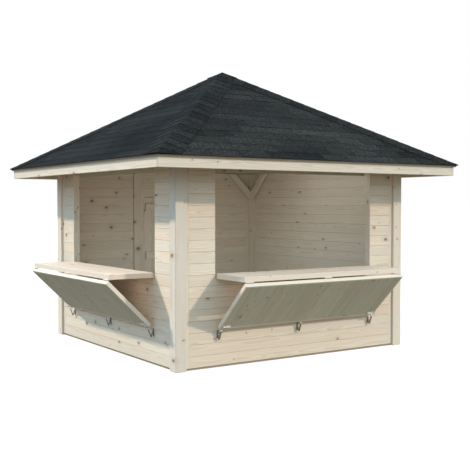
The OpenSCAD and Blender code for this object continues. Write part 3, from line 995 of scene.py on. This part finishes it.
def build_head(side):
    """A board on the inner face of the beam, which hangs down behind the top of the closed hatch."""
    lying = turned(side) @ LYING
    node = "front_back_beams" if side == "front" else "side_beams"
    beam = max(node_solids(node, lying), key=lambda points: max(p.z for p in points))
    foot = min(p.y for p in beam)
    inner = min(p.z for p in beam)
    low, high = extent(f"{side}_counter", lying)
    solids = Solids()
    solids.plank(f"{side} head", lying,
                 (low.x, foot - HEAD_DROP, inner - HEAD_T), (high.x, foot + HEAD_LAP, inner))
    # The head board takes the finish that is darkened as painted shade under the eaves
    solids.piece(f"{side}_head_board", PAINTED_SHADE_PANEL, "house")


def framed_panel(solids, face, name, place, low, high, top_boards, under_boards):
    """A panel with a rim round boards on its upper face, gathered by themselves, and its under face."""
    rim_in = [(low.x + RIM_W, low.y + RIM_W), (high.x - RIM_W, high.y - RIM_W)]
    for end, (bottom, top) in enumerate(((low.y, rim_in[0][1]), (rim_in[1][1], high.y))):
        solids.plank(f"{name} rail {end}", place, (low.x, bottom, low.z), (high.x, top, high.z))
    for end, (left, right) in enumerate(((low.x, rim_in[0][0]), (rim_in[1][0], high.x))):
        solids.plank(f"{name} stile {end}", place @ CROSSWISE,
                     (rim_in[0][1], -right, low.z), (rim_in[1][1], -left, high.z))
    middle = (low.z + high.z) / 2
    top_boards(face, name, place, rim_in, middle, high.z)
    under_boards(solids, name, place, rim_in, low.z, middle)


def long_boards(solids, name, place, rim, inner, outer, edges, chamfers):
    """Boards along a panel, between two faces of it."""
    for number, (bottom, top) in enumerate(edges):
        solids.plank(f"{name} {inner} {number}", place,
                     (rim[0][0], bottom, inner), (rim[1][0], top, outer), chamfers)


def smooth_top(solids, name, place, rim, inner, outer):
    """Boards of a counter, along it and close together."""
    edges = board_edges(rim[0][1], rim[1][1], rim[0][1], PANEL_BOARD)
    long_boards(solids, name, place, rim, inner, outer, edges, (PANEL_JOINT,) * 4)


def sloping_top(solids, name, place, rim, inner, outer):
    """Boards of a flap's inner face, from its hinge to its toe."""
    for number, (bottom, top) in enumerate(board_edges(-rim[1][0], -rim[0][0], -rim[1][0], PANEL_BOARD)):
        solids.plank(f"{name} face {number}", place @ CROSSWISE,
                     (rim[0][1], bottom, inner), (rim[1][1], top, outer), (PANEL_JOINT,) * 4)


def clad_under(height_of):
    """Grooved boards that carry on the wall's levels when the hatch is folded up."""
    def boards(solids, name, place, rim, inner, outer):
        edges = board_edges(rim[0][1], rim[1][1], height_of(BOARD_FOOT), BOARD_COVER)
        long_boards(solids, name, place, rim, inner, outer, edges, (GROOVE, GROOVE, TIGHT, TIGHT))
    return boards


def joint(name):
    return next(j for j in frame["joints"] if j["name"] == name)


def hinge_frame(side, panel):
    """The frame of a hatch, outwards -Y, with its origin on the axis of its counter or its flap."""
    axis = Vector(joint(f"{side}_{panel}_hinge")["pos_m"])
    return turned(side) @ Matrix.Translation((0, -math.hypot(axis.x, axis.y), axis.z))


def flap_frame(side):
    """The frame of an unfolded flap at its place at rest, with its origin on its own hinge's axis."""
    couplings = frame["record"]["behaviour"]["couplings"]
    ratio = next(c["ratio"] for c in couplings if c["joint"] == f"{side}_flap_hinge")
    fold = ratio * joint(f"{side}_counter_hinge")["range_deg"][1]
    return hinge_frame(side, "flap") @ Matrix.Rotation(math.radians(fold), 4, "X")


def build_hatch(side):
    build_head(side)
    sill = hinge_frame(side, "counter")
    low, high = extent(f"{side}_counter", sill)
    level = sill.translation.z
    span = Vector(joint(f"{side}_flap_hinge")["pos_m"]).xy.length - sill.translation.xy.length
    solids = Solids()
    framed_panel(solids, solids, f"{side} counter", sill, low, high, smooth_top,
                 clad_under(lambda z: level - z))
    solids.piece(f"{side}_counter_boards", COUNTER, f"{side}_counter_unit", f"{side}_counter")

    hung = flap_frame(side)
    low, high = extent(f"{side}_flap", hung)
    solids = Solids()
    face = Solids()
    framed_panel(solids, face, f"{side} flap", hung, low, high, sloping_top,
                 clad_under(lambda z: level + span - z))
    solids.piece(f"{side}_flap_boards", PLANED, f"{side}_flap_unit", f"{side}_flap")
    # The flap's face takes the finish that is darkened and greened as painted shade
    face.piece(f"{side}_flap_face", PAINTED_SHADE_PANEL, f"{side}_flap_unit", f"{side}_flap")

    dress(f"{side}_counter_hinges", ZINC, f"{side}_counter_unit", HINGE_EASE, 1)
    dress(f"{side}_flap_hardware", ZINC, f"{side}_flap_unit", HINGE_EASE, 1)


# Door

STOP_W = 0.015
STOP_GAP = 0.002


def build_door_stops(low):
    """Strips round the doorway that the closed door rests against."""
    standing = turned("back") @ STANDING
    lying = turned("back") @ LYING
    side, _ = extent("over_door_panel", lying)
    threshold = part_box("threshold")[1].z
    inner = extent("door_posts", lying)[0].z
    outer = low.z - STOP_GAP
    half = -side.x
    solids = Solids()
    for end in (-half, half - STOP_W):
        solids.plank(f"stop {end}", standing, (threshold, end, inner), (side.y, end + STOP_W, outer))
    solids.plank("stop head", lying,
                 (STOP_W - half, side.y - STOP_W, inner), (half - STOP_W, side.y, outer))
    solids.piece("door_stops", PLANED, "house")


def build_door():
    standing = turned("back") @ STANDING
    low, high = extent("door_leaf", standing)
    solids = Solids()
    count = round((high.y - low.y) / BOARD_COVER)
    step = (high.y - low.y) / count
    for number in range(count):
        left = low.y + number * step
        solids.plank(f"door {number}", standing,
                     (low.x, left, low.z), (high.x, left + step, high.z), (GROOVE,) * 4)
    solids.piece("door_boards", PLANED, "door_unit", "door_leaf")
    build_door_stops(low)
    dress("door_ledges", PLANED, "door_unit", ROUNDED)
    dress("door_straps", ZINC, "door_unit", STEEL_EASE, 1)
    dress("door_handle", ZINC, "door_unit", STEEL_EASE, 1)
    dress("door_strap_plates", ZINC, "house", STEEL_EASE, 1)


def build_hardware():
    dress("sill_hinges", ZINC, "house", HINGE_EASE, 1)
    # The hooks take the zinc that is darkened as painted shade
    dress("flap_hooks", PAINTED_SHADE_HOOK_ZINC, "house", STEEL_EASE, 1)


# Screws

SCREW_R = 0.0042
SCREW_SIDES = 10
SCREW_TURNS = [2 * math.pi * i / SCREW_SIDES for i in range(SCREW_SIDES)]
# Height and radius from the rim of a head to the bottom of its drive, as shares of its radius
SCREW_HEAD = ((0, 1), (0.25, 0.95), (0.5, 0.6), (0.5, 0.35), (0.2, 0.25))
# Places in a hinge's leaf: along it from its middle, and back from its far edge
LEAF_SCREWS = ((-0.032, 0.010), (0.032, 0.010), (-0.032, 0.032), (0.032, 0.032))
PLATE_INSET = 0.0065
HOOK_SCREWS = (0.015, 0.045)
LIP_R = 0.0075
LIP_L = 0.022
STRAP_SCREWS = (0.02, 0.11, 0.20, 0.29)
STRAP_PLATE_SCREWS = (0.015, 0.05)
ON_AXIS = 0.02
# A hinge leaf's own frame, along its hinge, away from its knuckles and out of the face that shows:
# on the wall under a sill, under a panel away from the sill, and under a panel towards the sill
WALL_LEAF = Matrix(((-1, 0, 0, 0), (0, 0, -1, 0), (0, -1, 0, 0), (0, 0, 0, 1)))
OUTWARD_LEAF = Matrix.Diagonal((1, -1, -1, 1))
INWARD_LEAF = Matrix.Diagonal((-1, 1, -1, 1))


def screw(solids, place):
    """A round head with a drive in it, on a face that looks along the place's own Z."""
    rings = [[Vector((math.cos(t) * radius, math.sin(t) * radius, height)) * SCREW_R for t in SCREW_TURNS]
             for height, radius in SCREW_HEAD]
    solids.loft(lambda p: place @ p, rings, NO_GRAIN)


def leaf_screws(solids, node, leaf):
    """Screws in those hinge leaves of a CAD node whose knuckles lie on the leaf frame's axis."""
    for points in node_solids(node, leaf):
        far = max(p.y for p in points)
        edge = [p for p in points if p.y > far - TIGHT]
        middle = midway(p.x for p in edge)
        face = max(p.z for p in edge)
        if abs(min(p.y for p in points)) < ON_AXIS:
            for along, back in LEAF_SCREWS:
                screw(solids, leaf @ Matrix.Translation((middle + along, far - back, face)))


def bolt_screws(solids, side):
    """Screws in the corners of the bolts' plates on a flap."""
    hung = flap_frame(side)
    for points in node_solids(f"{side}_flap_hardware", hung):
        low = [min(p[i] for p in points) + PLATE_INSET for i in range(2)]
        high = [max(p[i] for p in points) - PLATE_INSET for i in range(2)]
        if high[1] < -ON_AXIS:
            top = max(p.z for p in points if p.y < low[1])
            for x in (low[0], high[0]):
                for y in (low[1], high[1]):
                    screw(solids, hung @ Matrix.Translation((x, y, top)))


def rolled_lip(solids, place):
    """A rolled edge on the outer lip of a hook, along the place's own X."""
    rings = [[Vector((end, math.cos(t) * LIP_R, math.sin(t) * LIP_R)) for t in SCREW_TURNS]
             for end in (-LIP_L / 2, LIP_L / 2)]
    solids.loft(lambda p: place @ p, rings, NO_GRAIN)


def hook_fittings(solids, side):
    """Screws through the plates of a wall's hooks, and the hooks' rolled lips."""
    sill = hinge_frame(side, "counter")
    outwards = Matrix.Rotation(math.pi / 2, 4, "X")
    for points in node_solids("flap_hooks", sill):
        lip = max(p.z for p in points)
        brim = sorted({round(p.y, 5) for p in points if p.z > lip - TIGHT})
        middle = midway(p.x for p in points)
        if abs(brim[-1]) < ON_AXIS:
            for drop in HOOK_SCREWS:
                screw(solids, sill @ Matrix.Translation((middle, brim[-2], lip - drop)) @ outwards)
            rolled_lip(solids, sill @ Matrix.Translation((middle, brim[0], lip)))


def strap_screws(solids, node, tip_of, places):
    """Screws along a strap of the door, from its tip towards its knuckle."""
    lying = turned("back") @ LYING
    for points in node_solids(node, lying):
        tip = tip_of(p.x for p in points)
        inward = 1 if tip_of is min else -1
        face = max(p.z for p in points if abs(p.x - tip) < TIGHT)
        level = midway(p.y for p in points)
        for back in places:
            screw(solids, lying @ Matrix.Translation((tip + inward * back, level, face)))


def build_screws():
    house = Solids()
    for side in ("front", "left"):
        leaf_screws(house, "sill_hinges", hinge_frame(side, "counter") @ WALL_LEAF)
        hook_fittings(house, side)
        counter = Solids()
        leaf_screws(counter, f"{side}_counter_hinges", hinge_frame(side, "counter") @ OUTWARD_LEAF)
        leaf_screws(counter, f"{side}_counter_hinges", hinge_frame(side, "flap") @ INWARD_LEAF)
        counter.piece(f"{side}_counter_screws", ZINC, f"{side}_counter_unit")
        flap = Solids()
        leaf_screws(flap, f"{side}_flap_hardware", flap_frame(side) @ OUTWARD_LEAF)
        bolt_screws(flap, side)
        flap.piece(f"{side}_flap_screws", ZINC, f"{side}_flap_unit")
    strap_screws(house, "door_strap_plates", max, STRAP_PLATE_SCREWS)
    house.piece("house_screws", ZINC, "house")
    door = Solids()
    strap_screws(door, "door_straps", min, STRAP_SCREWS)
    door.piece("door_screws", ZINC, "door_unit")


# Studio

def build_camera():
    camera = bpy.data.cameras.new("camera")
    camera.lens = LENS
    camera.sensor_width = SENSOR
    camera.clip_end = CLIP_END
    view = bpy.data.objects.new("camera", camera)
    aim = Vector((math.cos(DIP) * math.cos(HEADING), math.cos(DIP) * math.sin(HEADING), math.sin(DIP)))
    view.location = EYE
    view.rotation_euler = aim.to_track_quat("-Z", "Y").to_euler()
    bpy.context.scene.collection.objects.link(view)
    bpy.context.scene.camera = view


def add_light(name, kind, power, colour, place=(0, 0, 0), aim=Vector((0, 0, -1))):
    """A light that doesn't show itself."""
    lamp = bpy.data.lights.new(name, kind)
    lamp.energy = power
    lamp.color = colour
    light = bpy.data.objects.new(name, lamp)
    light.location = place
    light.rotation_euler = aim.to_track_quat("-Z", "Y").to_euler()
    light.visible_camera = False
    bpy.context.scene.collection.objects.link(light)
    return lamp


def build_sun(name, direction, power):
    sun = add_light(name, "SUN", power, SUN_COLOUR, aim=direction)
    sun.angle = SUN_SPREAD


def build_glow(name, place, power, colour, radius):
    """Light that a bright day leaves in a shady place."""
    glow = add_light(name, "POINT", power, colour, place)
    glow.shadow_soft_size = radius


def build_glows():
    build_glow("room_glow", ROOM_GLOW_PLACE, ROOM_GLOW_POWER, ROOM_GLOW_COLOUR, ROOM_GLOW_RADIUS)
    for side, place in COUNTER_GLOW_PLACES.items():
        build_glow(f"{side}_counter_glow", hinge_frame(side, "counter") @ Vector(place),
                   COUNTER_GLOW_POWER, COUNTER_GLOW_COLOUR, COUNTER_GLOW_RADIUS)


def build_wash():
    """Light that a bright day throws high on the right wall, inside."""
    wash = add_light("wall_wash", "AREA", WASH_POWER, ROOM_GLOW_COLOUR, WASH_PLACE, Vector((1, 0, 0)))
    wash.shape = "RECTANGLE"
    wash.size = WASH_W
    wash.size_y = WASH_H


def build_sky():
    """A cool sky, bluer on the left, over a dim warm ground, and plain white behind the kiosk."""
    world = bpy.data.worlds.new("studio")
    bpy.context.scene.world = world
    n = Nodes(world)
    across, depth, height = n.split(n.node("TexCoord", out="Generated"))
    sky = n.mix(n.step(across - depth, *SKY_TURN), SKY_LEFT, SKY_RIGHT)
    glow = n.mix(n.step(height, *HORIZON), GROUND_GLOW, sky)
    seen = n.node("LightPath", out="Is Camera Ray")
    n.feed(n.tree.nodes["Background"], {"Color": n.mix(seen, glow, WHITE)})


def build_ground():
    """A pale floor that takes a faint shadow and throws no light back at the kiosk."""
    mesh = bpy.data.meshes.new("ground")
    mesh.from_pydata(square(GROUND_REACH, -TIGHT), [], [(0, 1, 2, 3)])
    pale = finish("pale_floor")
    mesh.materials.append(pale.surface(
        Base_Color=GROUND_COLOUR, Roughness=1.0, Emission_Color=GROUND_LIGHT, Emission_Strength=1.0,
    ))
    ground = bpy.data.objects.new("ground", mesh)
    ground.visible_diffuse = False
    ground.visible_glossy = False
    bpy.context.scene.collection.objects.link(ground)
    ground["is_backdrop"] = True


build_camera()
build_walls()
build_floor()
build_frame()
for each_side in SIDES:
    build_deck(each_side)
    build_shingles(each_side)
build_hips()
build_hatch("front")
build_hatch("left")
build_door()
build_hardware()
build_screws()
build_sun("sun_left", SUN_LEFT, SUN_LEFT_POWER)
build_sun("sun_front", SUN_FRONT, SUN_FRONT_POWER)
build_glows()
build_wash()
build_sky()
build_ground()
bpy.context.scene.view_settings.view_transform = "Standard"

boxes = {"cad": CAD_BOX, "visual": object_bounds()}
{name: [list(corner) for corner in box] for name, box in boxes.items()}
